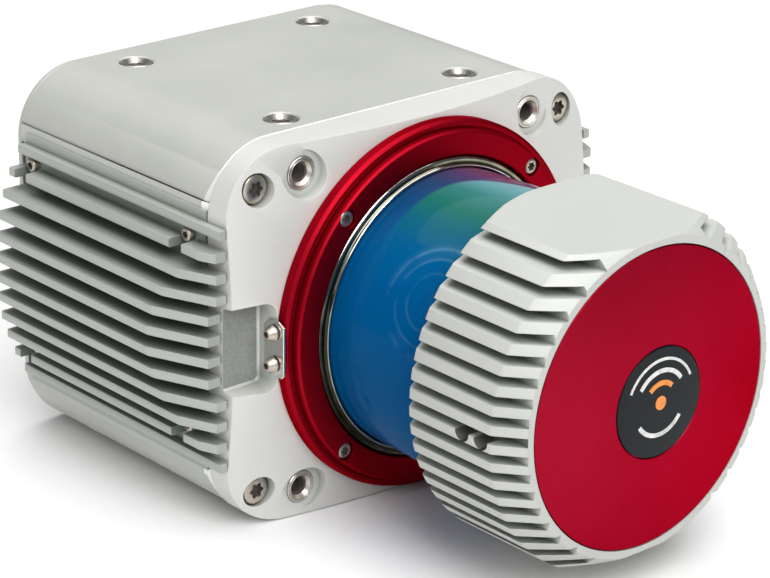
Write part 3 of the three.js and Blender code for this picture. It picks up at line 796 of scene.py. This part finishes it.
def end_cap():
    """Turned shell with flats at the top and bottom, a hood over the window and slots that leave fins."""
    ob = lathe("cap_shell", [
        (48.6, -52.6), (50.4, -52.6), (56.6, -56.7), (57.1, -57.2), (57.4, -57.9), (57.4, -92.4),
        (57.3, -92.8), (50.9, -101.0), (50.6, -101.2), (48.2, -101.2), (48.2, -98.0), (44, -98.0), (44, -66),
        (11.4, -66), (11.4, -60.4), (48.6, -60.4)], 288, closed=True)
    for s in (-1, 1):
        z0, z1 = sorted((s * CAP_FLAT, s * 80))
        boolean(ob, [block("c", -70, 70, -120, -40, z0, z1)])
    plan = [(-27.9, -59), (-27.9, -57.3), (-20.1, -53.1), (-13.5, -49.8), (-9, -48.2), (-4, -46.8),
            (-1, -46.1), (2.5, -45.7)] + arc(24.4, -49.0, 3.3, 86, 8, 6) + [(27.9, -48), (27.9, -59)]
    hood = prism_z("hood", plan, 42.9, CAP_FLAT)
    boolean(hood, [lathe("c", [(0, -70), (48.6, -70), (48.6, -40), (0, -40)], 288)])
    boolean(ob, [hood], "UNION")
    pitch, half, floor_r = 5.9, 1.45, 50.4
    cuts = []
    for k in range(-8, 9):
        z = k * pitch
        floor_x = max(21.0, math.sqrt(floor_r ** 2 - z * z))
        for s in (-1, 1):
            x0, x1 = sorted((s * floor_x, s * 80))
            cuts.append(block("c", x0, x1, -103, -40, z - half, z + half))
    boolean(ob, cuts)
    boolean(ob, [side_bore(2.9, 14, 40, -64, y, TOOL_HOLE_Z) for y in TOOL_HOLE_Y])

    def zone(x, y, z, n):
        """1 inside the two tool holes."""
        return int(x < -40 and min(math.hypot(y - hole, z - TOOL_HOLE_Z) for hole in TOOL_HOLE_Y) < 3.1)
    finish(ob, [CAPMET, HOLE], stands_for="end_cap_housing", angle=28, pick=zone)


end_cap()


def dome(r):
    """Where the cap's domed disc lies at a radius."""
    return -101.2 - 3.8 * (1 - (r / 47.9) ** 2)


disc = [(0, -98.3), (47.9, -98.3), (47.9, -101.0), (47.7, -101.25)]
disc += [(r, dome(r)) for r in (46, 44, 41, 38, 34, 30, 26, 22, 19)]
disc += [(18.0, dome(18.0)), (17.8, dome(17.8) + 0.2), (17.8, dome(0) + 1.4), (0, dome(0) + 1.4)]
finish(lathe("cap_disc", disc, 256), DISC_RED, stands_for="end_cap_disc", angle=40)
badge = [(0, dome(0) + 1.1), (17.5, dome(0) + 1.1), (17.5, dome(17.5) + 0.05), (17.3, dome(17.3) - 0.12)]
badge += [(r, dome(r) - 0.15) for r in (15, 12, 9, 6, 3, 0)]
finish(lathe("badge_disc", badge, 160), BADGE, stands_for="end_cap_badge", angle=12)


def badge_arc(name, r_in, r_out, a0, a1, material):
    """A thin raised arc that follows the dome of the badge."""
    n = 40
    section = ((r_in, 0.1), (r_out, 0.1), (r_out, 0.3), (r_in, 0.3))
    loops = []
    for i in range(n + 1):
        a = math.radians(a0 + (a1 - a0) * i / n)
        loops.append([(r * math.cos(a), dome(r) - h, r * math.sin(a)) for r, h in section])
    finish(rings_mesh(name, loops), material, angle=40)


badge_arc("dial_outer", 13.4, 14.3, 25, 155, WHITE_INK)
badge_arc("dial_middle", 9.6, 11.0, 35, 145, WHITE_INK)
badge_arc("dial_inner", 5.6, 7.2, 45, 135, ORANGE_INK)
badge_arc("dial_base", 9.6, 11.0, 215, 325, WHITE_INK)
dot = [(0, dome(0) - 0.1), (2.2, dome(0) - 0.1), (2.2, dome(0) - 0.32), (0, dome(0) - 0.34)]
finish(lathe("dial_dot", dot, 48), ORANGE_INK)


# ------------------------------------------------------------------ rear
rear_slab = prism_y("cover_slab", round_rect(73.6, 61.7, 22.2, 30), 116.3, 118.3)
boolean(rear_slab, [lathe("c", [(0, 110), (r, 110), (r, 125), (0, 125)], 64, (x, CONNECTOR_Z))
                    for x, r in CONNECTORS.values()])
finish(rear_slab, SILVER, stands_for="rear_cover", bevel=0.3, angle=15)


def knurled_cap(name, node, x, r, flange, material):
    """Round dust cap with a flange and a band of small ridges."""
    n, ridge = 144, 0.018

    def loop(radius, y, k=0.0):
        pts = []
        for j in range(n):
            a = 2 * math.pi * j / n
            ridged = radius * (1 + k * (1 if j % 4 < 2 else -1))
            pts.append((x + ridged * math.cos(a), y, CONNECTOR_Z + ridged * math.sin(a)))
        return pts
    loops = [loop(r - 0.3, 112), loop(r - 0.3, 118.6), loop(flange, 118.6), loop(flange, 120.0),
             loop(flange - 0.3, 120.3), loop(r - 0.4, 120.3), loop(r - 0.4, 120.9),
             loop(r - 0.2, 121.0, ridge), loop(r - 0.2, 125.6, ridge), loop(r - 0.6, 126.3),
             loop(r - 1.0, 127), loop(r * 0.6, 127), loop(r * 0.55, 126.7)]
    finish(rings_mesh(name, loops), material, stands_for=node, angle=25)


knurled_cap("power_cap", "connector_power", *CONNECTORS["power"], 13.0, BLACK_METAL)
knurled_cap("data_cap", "connector_data", *CONNECTORS["data"], 11.0, BLACK_METAL)
knurled_cap("antenna_cap", "antenna_port", *CONNECTORS["antenna"], 5.0, COPPER)

# ------------------------------------------------------------------ carried-over CAD nodes
KEPT = {
    "rear_gasket": BLACK_RUBBER, "window_seal": BLACK_RUBBER, "cap_seal": BLACK_RUBBER,
    "motor_housing": BLACK_METAL, "motor_stator": COPPER, "motor_magnet": BLACK_METAL, "motor_shaft": STEEL,
    "bearing_front": STEEL, "bearing_rear": STEEL, "encoder_disc": LENS, "mirror_hub": SILVER,
    "mirror_body": SILVER, "scan_mirror": MIRROR, "receiver_tube": BLACK_METAL, "receiver_lens": LENS,
    "detector_board": BOARD, "laser_module": BLACK_METAL, "main_board": BOARD, "power_board": BOARD,
}
for name, material in KEPT.items():
    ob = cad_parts[name]
    ob.data.materials.clear()
    ob.data.materials.append(material)

# ------------------------------------------------------------------ floor, lights, camera
floor_me = bpy.data.meshes.new("floor")
half, drop = 6.0, -0.0004
floor_me.from_pydata([(-half, -half, drop), (half, -half, drop), (half, half, drop), (-half, half, drop)], [],
                     [(0, 1, 2, 3)])
floor = bpy.data.objects.new("floor", floor_me)
bpy.context.collection.objects.link(floor)
floor_mat, _, floor_shader = new_mat("pale_floor")
floor_shader.inputs["Base Color"].default_value = (0.84, 0.84, 0.84, 1)
floor_shader.inputs["Roughness"].default_value = 0.9
floor_me.materials.append(floor_mat)

world = bpy.data.worlds.new("studio")
bpy.context.scene.world = world
world.use_nodes = True
backdrop = world.node_tree.nodes["Background"]
backdrop.inputs["Color"].default_value = (1, 1, 1, 1)
backdrop.inputs["Strength"].default_value = 0.16


def area(name, loc, target, size, power):
    """Soft square light that faces its target."""
    light = bpy.data.lights.new(name, "AREA")
    light.energy = power
    light.size = size
    ob = bpy.data.objects.new(name, light)
    ob.location = loc
    ob.rotation_euler = (Vector(target) - Vector(loc)).to_track_quat("-Z", "Y").to_euler()
    bpy.context.collection.objects.link(ob)


area("overhead", (0.15, 0.0, 1.6), (0, 0, 0.05), 1.8, 31)
area("key", (-0.60, -1.35, 1.35), (0, 0, 0.06), 1.2, 31)
area("fill", (-1.6, -0.2, 0.9), (0, 0, 0.08), 1.0, 5)

# the camera looks past a point on the scan axis; distance and offsets are in millimetres
azimuth, elevation, roll = math.radians(-42.853), math.radians(20.893), math.radians(1.325)
backward = Vector((math.sin(azimuth) * math.cos(elevation), -math.cos(azimuth) * math.cos(elevation),
                   math.sin(elevation)))
level_right = Vector((0, 0, 1)).cross(backward).normalized()
level_up = backward.cross(level_right)
cam_x = math.cos(roll) * level_right + math.sin(roll) * level_up
cam_y = -math.sin(roll) * level_right + math.cos(roll) * level_up
aim, distance, offset_x, offset_y = Vector((0, -44.1176, 0)), 950.6603, -17.0735, 27.3074
pos = aim + backward * distance + cam_x * offset_x + cam_y * offset_y
cam_data = bpy.data.cameras.new("camera")
cam_data.sensor_width = 36
cam_data.sensor_fit = "HORIZONTAL"
cam_data.lens = 143.25031
cam_data.shift_x = -0.1031143
cam_data.shift_y = -0.0456649
cam_data.clip_start = 0.05
cam_data.clip_end = 20
cam = bpy.data.objects.new("camera", cam_data)
rot = Matrix((cam_x, cam_y, backward)).transposed().to_4x4()
cam.matrix_world = Matrix.Translation(P(*pos)) @ rot
bpy.context.collection.objects.link(cam)
bpy.context.scene.camera = cam
bpy.context.scene.view_settings.view_transform = "Standard"

bpy.context.view_layer.update()
